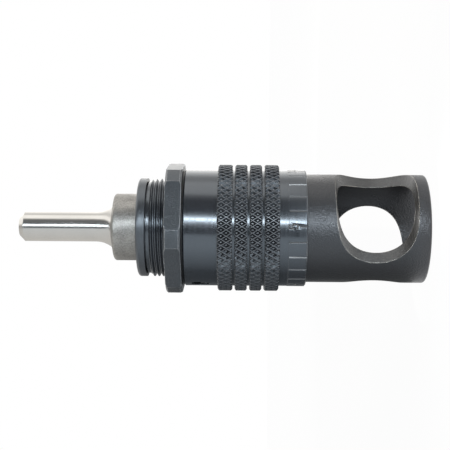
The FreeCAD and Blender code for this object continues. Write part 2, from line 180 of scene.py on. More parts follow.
class EffectKit:
    """The node groups that several finishes share, each built once."""

    def __init__(self) -> None:
        """Build the groups."""
        self.edge_wear = self._edge_wear()
        self.texture = self._texture()

    @staticmethod
    def _group(name: str, inputs: Sequence[str], outputs: dict[str, str]) -> tuple:
        """Start a group with float inputs.

        Args:
            name: The group's name.
            inputs: The inputs' names.
            outputs: The outputs' names and kinds, Float or Vector.

        Returns:
            The graph, the sockets that it reads and the sockets that it feeds.
        """
        tree = bpy.data.node_groups.new(name, "ShaderNodeTree")
        graph = Graph(tree)
        for label in inputs:
            tree.interface.new_socket(label, in_out="INPUT", socket_type="NodeSocketFloat")
        for label, kind in outputs.items():
            tree.interface.new_socket(label, in_out="OUTPUT", socket_type=f"NodeSocket{kind}")
        return graph, tree.nodes.new("NodeGroupInput").outputs, tree.nodes.new("NodeGroupOutput").inputs

    def _edge_wear(self) -> bpy.types.NodeTree:
        """Build the mask of rubbed edges, broken up by noise, and of milled walls.

        Returns:
            The group. Its Normal is rounded at the edges.
        """
        inputs = ("Radius", "Amount", "Start", "Full", "Milled")
        graph, given, result = self._group("edge_wear", inputs, {"Mask": "Float", "Normal": "Vector"})
        rounded = graph.add(Node.BEVEL, {"Radius": given["Radius"]}, samples=BEVEL_SAMPLES)[0]
        true_normal = graph.add(Node.GEOMETRY)["Normal"]
        bend = graph.maths("SUBTRACT", 1.0, graph.vectors("DOT_PRODUCT", rounded, true_normal, "Value"))
        edge = graph.ranged(bend, given["Start"], given["Full"])
        patches = graph.ranged(graph.noise(EVEN, PATCH_SCALE), *PATCHY, LEAST_PATCH)
        rubbed = graph.maths("MULTIPLY", graph.maths("MULTIPLY", edge, patches), given["Amount"])
        milled = graph.maths("MULTIPLY", self._walls(graph), given["Milled"])
        graph.feed(result["Mask"], graph.maths("MAXIMUM", rubbed, milled))
        graph.feed(result["Normal"], rounded)
        return graph.tree

    @staticmethod
    def _walls(graph: Graph) -> Socket:
        """Give 1 on walls that face neither to nor from the tool axis, and 0 on turned ones.

        Args:
            graph: The graph to place the nodes in.

        Returns:
            The mask, drawn out along fine milling marks.
        """
        place = graph.add(Node.COORDINATES)
        outward = graph.vectors("NORMALIZE", graph.vectors("MULTIPLY", place["Object"], (1.0, 1.0, 0.0)))
        facing = graph.maths("ABSOLUTE", graph.vectors("DOT_PRODUCT", outward, place["Normal"], "Value"))
        marks = graph.ranged(graph.noise(MILLING_STRETCH, MILLING_SCALE, FINE_DETAIL), *MIDDLING, LEAST_MARK)
        return graph.maths("MULTIPLY", graph.ranged(facing, *TURNED_TO_MILLED), marks)

    def _texture(self) -> bpy.types.NodeTree:
        """Build fine even grain, slow clouds and the lines that a lathe leaves round the tool axis.

        Returns:
            The group.
        """
        inputs = ("Grain Scale", "Cloud Scale", "Line Scale")
        outputs = {"Grain": "Float", "Clouds": "Float", "Lines": "Float"}
        graph, given, result = self._group("surface_texture", inputs, outputs)
        graph.feed(result["Grain"], graph.noise(EVEN, given["Grain Scale"], FINE_DETAIL))
        clouds = graph.noise(EVEN, given["Cloud Scale"], CLOUD_DETAIL)
        graph.feed(result["Clouds"], graph.ranged(clouds, *MIDDLING))
        graph.feed(result["Lines"], graph.noise(ALONG_AXIS, given["Line Scale"], FINE_DETAIL))
        return graph.tree


@dataclass(frozen=True)
class Finish:
    """One finish of the tool, from which its material is made."""

    name: str
    base: Colour
    worn: Colour
    metallic: float
    roughness: float
    roughness_spread: float = 0.06
    index: float = 1.5
    grain_scale: float = 9000.0
    grain_height: float = 0.002
    cloud_scale: float = 160.0
    cloud_tint: float = 0.2
    line_scale: float = 5000.0
    line_height: float = 0.0
    line_gloss: float = 0.0
    grain_tint: float = 0.0
    specular_tint: Colour = (1.0, 1.0, 1.0)
    wear_radius: float = 0.12
    wear_start: float = 0.02
    wear_full: float = 0.22
    wear: float = 0.6
    worn_metallic: float = 0.9
    worn_roughness: float = 0.3
    milled: float = 0.0

    def material(self, kit: EffectKit) -> bpy.types.Material:
        """Make the finish's material.

        Args:
            kit: The shared node groups.

        Returns:
            The material.
        """
        material, graph = new_material(self.name)
        scales = {"Grain Scale": self.grain_scale, "Cloud Scale": self.cloud_scale,
                  "Line Scale": self.line_scale}
        texture = graph.add(Node.GROUP, scales, node_tree=kit.texture)
        rubbing = {"Radius": self.wear_radius * MM, "Amount": self.wear, "Start": self.wear_start,
                   "Full": self.wear_full, "Milled": self.milled}
        edges = graph.add(Node.GROUP, rubbing, node_tree=kit.edge_wear)
        rubbed = graph.add(Node.ATTRIBUTE, attribute_name="rubbed")["Fac"]
        wear = graph.maths("MAXIMUM", edges["Mask"], rubbed)
        speckle = graph.ranged(texture["Grain"], *NARROWER, 0.0, self.grain_tint)
        shade = graph.maths("ADD", graph.maths("MULTIPLY", texture["Clouds"], self.cloud_tint), speckle)
        darker = tuple(channel * DARKER_SHARE for channel in self.base)
        coloured = graph.blend(shade, (*self.base, 1.0), (*darker, 1.0))
        half = self.roughness_spread / 2
        clouded = graph.ranged(texture["Clouds"], 0.0, 1.0, self.roughness - half, self.roughness + half)
        streak = graph.ranged(texture["Lines"], *MIDDLING, -self.line_gloss / 2, self.line_gloss / 2)
        rough = graph.maths("ADD", clouded, streak)
        height = graph.maths("ADD",
                             graph.maths("MULTIPLY", texture["Grain"], self.grain_height * MM),
                             graph.maths("MULTIPLY", texture["Lines"], self.line_height * MM))
        relief = {"Strength": 1.0, "Distance": 1.0, "Height": height, "Normal": edges["Normal"]}
        shader = graph.add(Node.PRINCIPLED, {
            "IOR": self.index,
            "Specular Tint": (*self.specular_tint, 1.0),
            "Base Color": graph.blend(wear, coloured, (*self.worn, 1.0)),
            "Roughness": graph.ranged(wear, 0.0, 1.0, rough, self.worn_roughness),
            "Metallic": graph.ranged(wear, 0.0, 1.0, self.metallic, self.worn_metallic),
            "Normal": graph.add(Node.BUMP, relief)[0]})
        graph.add(Node.OUTPUT, {"Surface": shader[0]})
        return material


WORN_STEEL = (0.36, 0.36, 0.37)
BLUED = (0.84, 0.92, 1.0)
GLOSS_OXIDE = Finish("gloss_black_oxide", (0.014, 0.015, 0.018), WORN_STEEL, 0.0, 0.17, index=2.1,
                     specular_tint=BLUED, line_height=0.0008, line_scale=4400.0, line_gloss=0.1,
                     grain_height=0.0006, wear=0.45)
TURNED_OXIDE = replace(GLOSS_OXIDE, name="turned_black_oxide", roughness=0.31, line_height=0.0010,
                       line_scale=2600.0, line_gloss=0.0, grain_height=0.0008, wear=0.6)
LAND_OXIDE = replace(GLOSS_OXIDE, name="graduated_black_oxide", base=(0.012, 0.013, 0.016), roughness=0.18,
                     wear=0.5, wear_radius=0.08)
ENGRAVED_OXIDE = Finish("engraved_black_oxide", (0.018, 0.018, 0.020), WORN_STEEL, 0.0, 0.34, index=2.5,
                        grain_height=0.0005, wear=0.2, wear_radius=0.03)
KNURL_OXIDE = Finish("knurled_black_oxide", (0.006, 0.0065, 0.008), (0.34, 0.35, 0.37), 0.0, 0.22, index=1.6,
                     specular_tint=BLUED, grain_height=0.0005, wear_radius=0.05, wear=0.1)
NUT_OXIDE = Finish("matt_black_oxide", (0.017, 0.018, 0.020), (0.62, 0.62, 0.63), 0.0, 0.34, index=1.98,
                   specular_tint=BLUED, grain_scale=2600.0, grain_height=0.075, grain_tint=0.6,
                   cloud_scale=500.0, cloud_tint=0.3, wear=0.8, wear_start=0.004, wear_full=0.016,
                   wear_radius=0.16, worn_roughness=0.25)
BLASTED_OXIDE = Finish("blasted_black_oxide", (0.007, 0.0068, 0.0076), (0.55, 0.52, 0.47), 0.0, 0.30,
                       index=1.8, specular_tint=(0.92, 0.95, 1.0), grain_scale=3000.0, grain_height=0.085,
                       wear=1.0, wear_radius=0.26, wear_full=0.10, worn_roughness=0.24, milled=0.12)
# Dark matt oxide of the key pin. On the lock washer it is also painted shade: a darker finish that stands in
# for the shadow in the gap between the lock ring and the lock nut.
PIN_OXIDE_AND_GAP_SHADE = Finish("pin_oxide_and_gap_shade", (0.010, 0.010, 0.011), WORN_STEEL, 0.0, 0.4,
                        wear=0.25, wear_radius=0.05)
SHANK_STEEL = Finish("bright_shank_steel", (0.62, 0.61, 0.585), (0.72, 0.71, 0.69), 1.0, 0.17,
                     line_height=0.0008, line_scale=3800.0, cloud_tint=0.08, wear=0.4, worn_metallic=1.0,
                     worn_roughness=0.2)
COLLAR_STEEL = Finish("satin_collar_steel", (0.42, 0.41, 0.39), (0.66, 0.65, 0.63), 1.0, 0.42,
                      roughness_spread=0.1, grain_scale=3400.0, grain_height=0.02, grain_tint=0.5,
                      line_height=0.002, line_scale=4200.0, cloud_scale=420.0, cloud_tint=0.3, wear=0.5,
                      worn_metallic=1.0, worn_roughness=0.25)
BEARING_STEEL = Finish("polished_bearing_steel", (0.66, 0.66, 0.66), (0.74, 0.74, 0.74), 1.0, 0.14,
                       cloud_tint=0.08, wear=0.3, worn_metallic=1.0, worn_roughness=0.12)
SPRING_STEEL = Finish("oiled_spring_steel", (0.30, 0.29, 0.28), (0.5, 0.5, 0.5), 1.0, 0.3,
                      cloud_tint=0.3, wear=0.4, worn_metallic=1.0)
BRASS = Finish("cage_brass", (0.72, 0.52, 0.23), (0.82, 0.66, 0.36), 1.0, 0.27,
               cloud_tint=0.15, wear=0.4, worn_metallic=1.0)
BRONZE = Finish("sintered_bronze", (0.50, 0.32, 0.17), (0.66, 0.46, 0.26), 1.0, 0.4,
                grain_height=0.004, cloud_tint=0.3, wear=0.4, worn_metallic=1.0)
FELT = Finish("grey_felt", (0.21, 0.20, 0.18), (0.27, 0.26, 0.24), 0.0, 0.95,
              grain_scale=3500.0, grain_height=0.05, cloud_scale=700.0, cloud_tint=0.5, wear=0.0,
              worn_metallic=0.0, worn_roughness=0.95)

NODES_BY_FINISH = {
    BLASTED_OXIDE: ["foot"], GLOSS_OXIDE: ["lock_ring"], NUT_OXIDE: ["lock_nut"],
    # The lock washer's dark matt finish is partly painted shade for the gap between the lock ring and the
    # lock nut.
    TURNED_OXIDE: ["housing", "rear_cap"], PIN_OXIDE_AND_GAP_SHADE: ["lock_washer", "key_pin"],
    SPRING_STEEL: ["foot_retaining_ring", "detent_spring", "return_spring"],
    SHANK_STEEL: ["spring_seat", "spindle"], BRASS: ["rear_needle_cage", "thrust_cage"],
    BEARING_STEEL: ["detent_ball", "needle_bearing_cup", "rear_needles", "thrust_race_lower",
                    "thrust_balls", "thrust_race_upper"],
    BRONZE: ["front_bushing"], FELT: ["rear_wiper"],
}


def as_object(name: str, form: Form) -> bpy.types.Object:
    """Turn an open mesh into an object of the scene.

    Args:
        name: The object's name.
        form: The mesh, which is freed.

    Returns:
        The object.
    """
    mesh = bpy.data.meshes.new(name)
    form.to_mesh(mesh)
    form.free()
    made = bpy.data.objects.new(name, mesh)
    bpy.context.scene.collection.objects.link(made)
    return made


class Wardrobe:
    """The materials of the tool, made once for each finish."""

    def __init__(self) -> None:
        """Build the shared groups and start with no materials."""
        self.kit = EffectKit()
        self.made: dict[str, bpy.types.Material] = {}

    def material(self, finish: Finish) -> bpy.types.Material:
        """Give the material of a finish, making it on first use.

        Args:
            finish: The finish asked for.

        Returns:
            Its material.
        """
        if finish.name not in self.made:
            self.made[finish.name] = finish.material(self.kit)
        return self.made[finish.name]

    def dress_nodes(self) -> None:
        """Give every carried-over CAD node its finish."""
        for finish, nodes in NODES_BY_FINISH.items():
            for node in nodes:
                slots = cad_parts[node].data.materials
                slots.clear()
                slots.append(self.material(finish))

    def place(self, form: Form, name: str, node: str, body: str, slot: str,
              finishes: Sequence[Finish], crease: float) -> bpy.types.Object:
        """Turn an open mesh into a piece of the tool.

        Args:
            form: The mesh, which is freed.
            name: The piece's name.
            node: The CAD node that it stands for.
            body: The CAD body that it rides on.
            slot: The record's material slot. It is not used.
            finishes: The finishes of its material slots.
            crease: The edge angle in degrees from which shading is sharp.

        Returns:
            The new object.
        """
        piece = as_object(name, form)
        mesh = piece.data
        for label in ("custom_normal", "sharp_face"):
            if label in mesh.attributes:
                mesh.attributes.remove(mesh.attributes[label])
        for finish in finishes:
            mesh.materials.append(self.material(finish))
        mesh.shade_smooth()
        mesh.set_sharp_from_angle(angle=math.radians(crease))
        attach(piece, body)
        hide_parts(node)
        log.info("%s: %d faces", name, len(mesh.polygons))
        return piece


def polar(radius: float, angle: float, height: float) -> Vector:
    """The point at a radius, an angle in radians and a height."""
    return Vector((radius * math.cos(angle), radius * math.sin(angle), height))


def distance_from_axis(point: Vector) -> float:
    """The distance of a point from the tool axis."""
    return math.hypot(point.x, point.y)


def copied_without(node: str, doomed: Callable[[list[float], list[float]], bool]) -> Form:
    """Copy a CAD node's mesh and leave some of its faces out of the copy.

    Args:
        node: The CAD node's name.
        doomed: Says by the radii and the heights of a face's corners whether the face is left out.

    Returns:
        The copy, as an open mesh to build on.
    """
    form = bmesh.new()
    form.from_mesh(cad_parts[node].data)
    bmesh.ops.remove_doubles(form, verts=form.verts, dist=TINY)
    faces = [face for face in form.faces
             if doomed([distance_from_axis(vertex.co) for vertex in face.verts],
                       [vertex.co.z for vertex in face.verts])]
    bmesh.ops.delete(form, geom=faces, context="FACES")
    return form


def arc_points(centre: Pair, radii: Pair, start: float, end: float,
               steps: int = 10) -> list[Pair]:
    """Points along a stretch of an ellipse.

    Args:
        centre: The ellipse's centre.
        radii: Its two radii.
        start: The first point's angle in degrees.
        end: The last point's angle in degrees.
        steps: The number of steps between them.

    Returns:
        The points from start to end.
    """
    angles = [math.radians(start + (end - start) * step / steps) for step in range(steps + 1)]
    return [(centre[0] + radii[0] * math.cos(angle), centre[1] + radii[1] * math.sin(angle))
            for angle in angles]


def cut_between(form: Form, heights: Collection[float], axis: Vector) -> None:
    """Cut a mesh at some heights and drop what lies outside them.

    Args:
        form: The open mesh.
        heights: Where it is cut.
        axis: The direction of the heights.
    """
    for height in heights:
        bmesh.ops.bisect_plane(form, geom=form.verts[:] + form.edges[:] + form.faces[:],
                               plane_co=axis * height, plane_no=axis, dist=TINY / 10)
    outside = [face for face in form.faces
               if not min(heights) < face.calc_center_median().dot(axis) < max(heights)]
    bmesh.ops.delete(form, geom=outside, context="FACES")


def bridge(form: Form, first: Sequence[bmesh.types.BMVert], second: Sequence[bmesh.types.BMVert],
           closed: bool = False) -> None:
    """Join two rows of vertices with quads.

    Args:
        form: The open mesh.
        first: One row.
        second: The other row, as long as the first.
        closed: Whether the rows are loops.
    """
    for index in range(len(first) - (not closed)):
        after = (index + 1) % len(first)
        form.faces.new((first[index], second[index], second[after], first[after]))


def grown_from(form: Form, edges: Sequence[bmesh.types.BMEdge]) -> list[bmesh.types.BMVert]:
    """Extrude edges, without moving them yet, and give their new vertices."""
    grown = bmesh.ops.extrude_edge_only(form, edges=edges)["geom"]
    return [item for item in grown if isinstance(item, bmesh.types.BMVert)]


WORKED_SLOT = 1
SQUARE_ON = 0.999
FIGURE_WIDTH = 0.6
FIGURE_ADVANCE = 0.82
FIGURES = {
    "0": arc_points((0.3, 0.5), (0.26, 0.44), 90, 450, 18),
    "1": [(0.12, 0.78), (0.34, 0.94), (0.34, 0.06)],
    "2": [*arc_points((0.3, 0.68), (0.25, 0.26), 165, -30, 9), (0.06, 0.06), (0.56, 0.06)],
    "5": [(0.52, 0.94), (0.13, 0.94), (0.09, 0.54), *arc_points((0.29, 0.34), (0.25, 0.28), 115, -145, 9)],
}


@dataclass
class KnurledRing:
    """The lock ring: diamond knurl in bands, engraved front land, bore and slot."""

    wardrobe: Wardrobe
    land_radius: float = 12.4 * MM
    knurl_radius: float = 13.45 * MM
    knurl_depth: float = 0.38 * MM
    knurl_chamfer: float = 0.3 * MM
    pits_round: int = 65
    row_step: float = 1.064 * MM
    first_row: float = 41.796 * MM
    first_angle: float = -124.7
    crest_share: float = 0.9
    crest_rounding: float = 0.04
    crest_dip: float = 0.06
    floor_share: float = 0.2
    floor_rounding: float = 1.25
    floor_dip: float = 0.97
    crest_rub: float = 0.35
    floor_rub: float = 0.6
    band_limits: tuple[Pair, ...] = (
        (30.9, 33.97), (34.47, 37.05), (37.55, 40.13), (40.63, 43.7))
    graduations: int = 24
    labelled_every: int = 5
    first_label_angle: float = -199.3
    groove_width: float = 0.32 * MM
    groove_depth: float = 0.155 * MM
    mitre_limit: float = 0.5
    groove: tuple[tuple[float, float, float], ...] = (
        (0.5, 0.3, 0.0), (0.5, -0.003, 0.4), (0.46, -0.05, 0.2), (0.0, -1.0, 0.0))
    tick_end: float = 28.95 * MM
    short_tick_end: float = 26.85 * MM
    figure_gap: float = 0.28 * MM
    figure_height: float = 2.1 * MM
    land_step: float = 0.04 * MM
    land_bottom: float = 25.2 * MM
    land_top: float = 30.9 * MM
    land_wall: float = 0.35 * MM
    land_chamfer: float = 0.25 * MM

    def build(self) -> None:
        """Build the ring, with its knurl and its land, in place of the CAD node."""
        shell = copied_without("lock_ring", self._is_worked)
        for low, high in self.band_limits:
            self._add_band(shell, low * MM, high * MM)
        bmesh.ops.remove_doubles(shell, verts=shell.verts, dist=TINY)
        ring = self.wardrobe.place(shell, "knurled_ring", "lock_ring", "lock_ring", "black_oxide",
                                   (GLOSS_OXIDE, KNURL_OXIDE), crease=28.0)
        for polygon in ring.data.polygons:
            if polygon.material_index == WORKED_SLOT:
                polygon.use_smooth = False
        self._add_land()

    def _is_worked(self, radii: list[float], heights: list[float]) -> bool:
        """Tell whether a CAD face lies where the knurl or the engraved land goes.

        Args:
            radii: The radii of the face's corners.
            heights: Their heights.

        Returns:
            True for a face to leave out.
        """
        knurled = min(radii) > self.knurl_radius - self.knurl_chamfer - LOOSE
        on_land = min(radii) > self.land_radius - self.land_chamfer - LOOSE
        rises = max(heights) - min(heights) > TINY
        return knurled or (on_land and rises and max(heights) < self.land_top + TINY)

    def _add_band(self, shell: Form, low: float, high: float) -> None:
        """Add one band of diamond knurl to the ring.

        Args:
            shell: The ring's open mesh.
            low: The band's lower limit.
            high: The band's upper limit.
        """
        flat = bmesh.new()
        layer = flat.verts.layers.float.new("rubbed")
        pitch = 2 * math.pi * self.knurl_radius / self.pits_round
        first = math.floor((low - self.first_row) / self.row_step) - 1
        last = math.ceil((high - self.first_row) / self.row_step) + 1
        for row in range(first, last + 1):
            centre_height = self.first_row + row * self.row_step
            for step in range(self.pits_round):
                centre = Vector(((step + 0.5 * (row % 2)) * pitch, centre_height, 0))
                self._add_diamond(flat, layer, centre, pitch)
        chamfer = self.knurl_chamfer
        cuts = [low, low + chamfer / 2, low + chamfer, high - chamfer, high - chamfer / 2, high]
        cut_between(flat, cuts, Vector((0, 1, 0)))
        bmesh.ops.remove_doubles(flat, verts=flat.verts, dist=TINY)
        copies = {}
        worn = shell.verts.layers.float.get("rubbed") or shell.verts.layers.float.new("rubbed")
        for vertex in flat.verts:
            along, height, dip = vertex.co
            slope = max(low + chamfer - height, height - high + chamfer, 0.0)
            sunk = slope + dip * (1.0 - slope / chamfer)
            radius = self.knurl_radius - sunk
            angle = math.radians(self.first_angle) + along / self.knurl_radius
            copy = shell.verts.new(polar(radius, angle, height))
            copy[worn] = vertex[layer]
            copies[vertex] = copy
        for face in flat.faces:
            shell.faces.new([copies[vertex] for vertex in face.verts]).material_index = WORKED_SLOT
        flat.free()

    def _add_diamond(self, flat: Form, layer: object, centre: Vector, pitch: float) -> None:
        """Add one pit of the knurl to the unrolled band.

        Args:
            flat: The unrolled mesh, as arc length, height and depth.
            layer: The vertex layer of the rubbed crests.
            centre: The pit's centre.
            pitch: The distance from pit to pit round the ring.
        """
        corners = [(pitch / 2, 0.0), (0.0, self.row_step), (-pitch / 2, 0.0), (0.0, -self.row_step)]
        rings = []
        for share, dip, rub in ((1.0, 0.0, self.crest_rub), (self.crest_share, 0.0, self.crest_rub),
                                (self.crest_share - self.crest_rounding, self.crest_dip, 0.0),
                                (self.floor_rounding * self.floor_share, self.floor_dip, 0.0),
                                (self.floor_share, 1.0, self.floor_rub)):
            ring = []
            for across, up in corners:
                vertex = flat.verts.new((centre.x + across * share, centre.y + up * share,
                                         dip * self.knurl_depth))
                vertex[layer] = rub
                ring.append(vertex)
            rings.append(ring)
        for outer, inner in zip(rings, rings[1:]):
            for index in range(4):
                following = (index + 1) % 4
                flat.faces.new((outer[index], outer[following], inner[following], inner[index]))
        flat.faces.new(rings[-1])

    def _add_land(self) -> None:
        """Build the graduated front land with its engraved lines and figures."""
        inner = self.land_radius - self.land_wall
        zone_end = self.tick_end + 2 * self.land_step
        outline = [
            (inner, self.land_bottom),
            (self.land_radius - self.land_chamfer, self.land_bottom),
            (self.land_radius, self.land_bottom + self.land_chamfer),
            (self.land_radius, zone_end),
            (self.land_radius - self.land_step, zone_end + self.land_step),
            (self.land_radius - self.land_step, self.land_top),
            (inner, self.land_top),
        ]
        body = bmesh.new()
        add_turned(body, outline, closed=True)
        land = self.wardrobe.place(subtracted(body, self._engraving()), "graduated_land", "lock_ring",
                                   "lock_ring", "black_oxide", (LAND_OXIDE, ENGRAVED_OXIDE), crease=40.0)
        shade_as_turned(land.data, (self.land_radius, self.land_radius - self.land_step))

    def _engraving(self) -> Form:
        """Build the cutters of the land's lines and figures.

        Returns:
            One mesh that holds them all.
        """
        cutter = bmesh.new()
        cutter.verts.layers.float.new("rubbed")
        for step in range(self.graduations):
            angle = math.radians(self.first_label_angle + 360.0 * step / self.graduations)
            labelled = step % self.labelled_every == 0
            end = self.short_tick_end if labelled else self.tick_end
            self._add_stroke(cutter, [(0.0, self.land_bottom - self.groove_width), (0.0, end)], angle)
            if labelled:
                self._add_figures(cutter, str(step), angle)
        for face in cutter.faces:
            face.material_index = WORKED_SLOT
        return cutter

    def _add_figures(self, cutter: Form, text: str, angle: float) -> None:
        """Add the cutters of one number, with its top to the shank.

        Args:
            cutter: The mesh to add to.
            text: The number.
            angle: The angle of its middle in radians.
        """
        size = self.figure_height
        bottom = self.short_tick_end + self.figure_gap
        advance = FIGURE_ADVANCE * size
        start = -(len(text) - 1) * advance / 2 - FIGURE_WIDTH * size / 2
        for place, digit in enumerate(text):
            points = [(start + place * advance + across * size, bottom + up * size)
                      for across, up in FIGURES[digit]]
            self._add_stroke(cutter, points, angle)

    def _add_stroke(self, cutter: Form, points: Sequence[Pair],
                    angle: float) -> None:
        """Add the cutter of one engraved stroke, wrapped round the land.

        Args:
            cutter: The mesh to add to.
            points: The stroke's line, as arc length and height. A loop ends where it starts.
            angle: Where the arc length is zero, in radians.
        """
        worn = cutter.verts.layers.float["rubbed"]
        spots = [Vector(point) for point in points]
        looped = (spots[0] - spots[-1]).length < TINY
        if looped:
            spots.pop()
        rings = []
        for index, spot in enumerate(spots):
            before = spots[index - 1] if index or looped else None
            after = spots[(index + 1) % len(spots)] if index + 1 < len(spots) or looped else None
            arriving = (spot - before).normalized() if before else (after - spot).normalized()
            leaving = (after - spot).normalized() if after else arriving
            middle = (arriving + leaving).normalized()
            across = Vector((-middle.y, middle.x)) / max(middle.dot(arriving), self.mitre_limit)
            sides = [(side * width, rise, rub)
                     for side in (1, -1) for width, rise, rub in self.groove[::side]]
            sides.pop(len(self.groove))
            ring = []
            for width, rise, rub in sides:
                place = spot + across * width * self.groove_width
                out = self.land_radius + rise * self.groove_depth
                vertex = cutter.verts.new(polar(out, angle + place.x / self.land_radius, place.y))
                vertex[worn] = rub
                ring.append(vertex)
            rings.append(ring)
        pairs = list(zip(rings, rings[1:]))
        if looped:
            pairs.append((rings[-1], rings[0]))
        else:
            cutter.faces.new(rings[0])
            cutter.faces.new(rings[-1][::-1])
        for first, second in pairs:
            bridge(cutter, first, second, closed=True)


def shade_as_turned(mesh: bpy.types.Mesh, radii: Sequence[float]) -> None:
    """Shade cylinder faces about the tool axis as truly round and square faces as flat.

    Args:
        mesh: The mesh, already shaded.
        radii: The cylinders' radii.
    """
    normals = [corner.vector.copy() for corner in mesh.corner_normals]
    for polygon in mesh.polygons:
        spots = [mesh.vertices[index].co for index in polygon.vertices]
        if abs(polygon.normal.z) > SQUARE_ON:
            for loop in polygon.loop_indices:
                normals[loop] = polygon.normal.copy()
        elif any(all(abs(distance_from_axis(spot) - radius) < TINY for spot in spots) for radius in radii):
            for loop, spot in zip(polygon.loop_indices, spots):
                normals[loop] = Vector((spot.x, spot.y, 0.0)).normalized()
    mesh.normals_split_custom_set(normals)


def add_turned(form: Form, outline: Sequence[Pair], closed: bool = False,
               columns: int = 192) -> None:
    """Add a surface turned about the tool axis.

    Args:
        form: The mesh to add to.
        outline: The (radius, height) points, from one end to the other.
        closed: Whether the last point joins the first.
        columns: The number of steps round.
    """
    turns = [2 * math.pi * column / columns for column in range(columns)]
    rows = [[form.verts.new(polar(radius, turn, height)) for radius, height in outline] for turn in turns]
    for row, following in zip(rows, (*rows[1:], rows[0])):
        bridge(form, row, following, closed)


def subtracted(body: Form, cutter: Form) -> Form:
    """Cut one closed mesh from another.

    Args:
        body: The mesh that is cut. It is freed.
        cutter: The mesh that cuts. It is freed.

    Returns:
        The result.
    """
    holders = []
    for label, form in (("body", body), ("cutter", cutter)):
        bmesh.ops.recalc_face_normals(form, faces=form.faces)
        holders.append(as_object(label, form))
    modifier = holders[0].modifiers.new("cut", "BOOLEAN")
    modifier.object = holders[1]
    modifier.solver = "EXACT"
    modifier.use_self = True
    cut = holders[0].evaluated_get(bpy.context.evaluated_depsgraph_get())
    result = bmesh.new()
    result.from_mesh(cut.data)
    for mesh in [holder.data for holder in holders]:
        bpy.data.meshes.remove(mesh)
    return result


WALL_REACH = 1.01
WALL_DEPTH = 0.1 * MM


@dataclass(frozen=True)
class Thread:
    """A right-hand thread about the tool axis, between two heights."""

    crest_radius: float
    depth: float
    pitch: float
    low: float
    high: float
    end_radii: Pair
    crest_angle: float = 0.0
    crest_height: float = 0.0
    lead_chamfer: float = 0.0
    columns: int = 160
    gap_angle: float = 0.0
    gap_half_width: float = 0.0
    gap_floor: float = 0.0
    profile: tuple[Pair, ...] = (
        (-0.07, 0.0), (0.07, 0.0), (0.1, 0.06), (0.36, 0.92), (0.43, 1.0), (0.57, 1.0), (0.64, 0.92),
        (0.9, 0.06))

    def add_to(self, form: Form) -> None:
        """Add the thread to an open mesh, cut off flat at both ends.

        Args:
            form: The mesh to add to.
        """
        thread = bmesh.new()
        first = math.floor((self.low - self.crest_height) / self.pitch) - 2
        last = math.ceil((self.high - self.crest_height) / self.pitch) + 2
        steps = [(turn + share, dip) for turn in range(first, last) for share, dip in self.profile]
        rows = [self._column(thread, column / self.columns, steps) for column in range(self.columns + 1)]
        for left, right in zip(rows, rows[1:]):
            bridge(thread, left, right)
        bmesh.ops.remove_doubles(thread, verts=thread.verts, dist=TINY)
        self._trim(thread)
        if self.gap_half_width:
            self._wall_gap(thread)
        copy = {vertex: form.verts.new(vertex.co) for vertex in thread.verts}
        for face in sorted(thread.faces, key=lambda face: tuple(face.calc_center_median())):
            form.faces.new([copy[vertex] for vertex in face.verts])
        thread.free()

    def _column(self, thread: Form, share: float, steps: Sequence[Pair]) -> list:
        """Add the points of the thread's outline at one place round the axis.

        Args:
            thread: The mesh to add to.
            share: The place, from 0 to 1, between the two sides of the gap.
            steps: Each point's turn and dip.

        Returns:
            The points from the bottom to the top.
        """
        points = []
        for turn, dip in steps:
            radius = self.crest_radius - dip * self.depth
            gap = math.asin(self.gap_half_width / radius)
            angle = math.radians(self.gap_angle) + gap + (2 * math.pi - 2 * gap) * share
            lead = (angle - math.radians(self.crest_angle)) / (2 * math.pi)
            height = self.crest_height + (turn + lead) * self.pitch
            points.append(thread.verts.new(polar(radius, angle, height)))
        return points

    def _trim(self, thread: Form) -> None:
        """Cut the thread at its ends, chamfer it there and close it to the plain radii.

        Args:
            thread: The thread's open mesh.
        """
        inner = [self.low + self.lead_chamfer, self.high - self.lead_chamfer]
        cut_between(thread, {self.low, self.high, *inner}, Vector((0, 0, 1)))
        for vertex in thread.verts:
            slope = max(inner[0] - vertex.co.z, vertex.co.z - inner[1], 0.0)
            radius = distance_from_axis(vertex.co)
            limit = self.crest_radius - slope
            if slope > TINY and radius > limit:
                vertex.co.xy *= limit / radius
        for height, end_radius in zip((self.low, self.high), self.end_radii):
            rim = [edge for edge in thread.edges
                   if edge.is_boundary and all(abs(vertex.co.z - height) < TINY for vertex in edge.verts)]
            for vertex in grown_from(thread, rim):
                vertex.co.xy *= end_radius / distance_from_axis(vertex.co)

    def _wall_gap(self, thread: Form) -> None:
        """Drop the thread's cut edges at its gap to the gap's floor.

        Args:
            thread: The thread's open mesh.
        """
        turn = Matrix.Rotation(-math.radians(self.gap_angle), 3, "Z")
        sides = [edge for edge in thread.edges if edge.is_boundary and all(
            (turn @ vertex.co).x > 0 and abs((turn @ vertex.co).y) < WALL_REACH * self.gap_half_width
            and distance_from_axis(vertex.co) > self.gap_floor - WALL_DEPTH for vertex in edge.verts)]
        sides = [edge for edge in sides if abs(edge.verts[0].co.z - edge.verts[1].co.z) > TINY]
        for vertex in grown_from(thread, sides):
            local = turn @ vertex.co
            side = math.copysign(self.gap_half_width, local.y)
            vertex.co = turn.transposed() @ Vector((self.gap_floor, side, local.z))


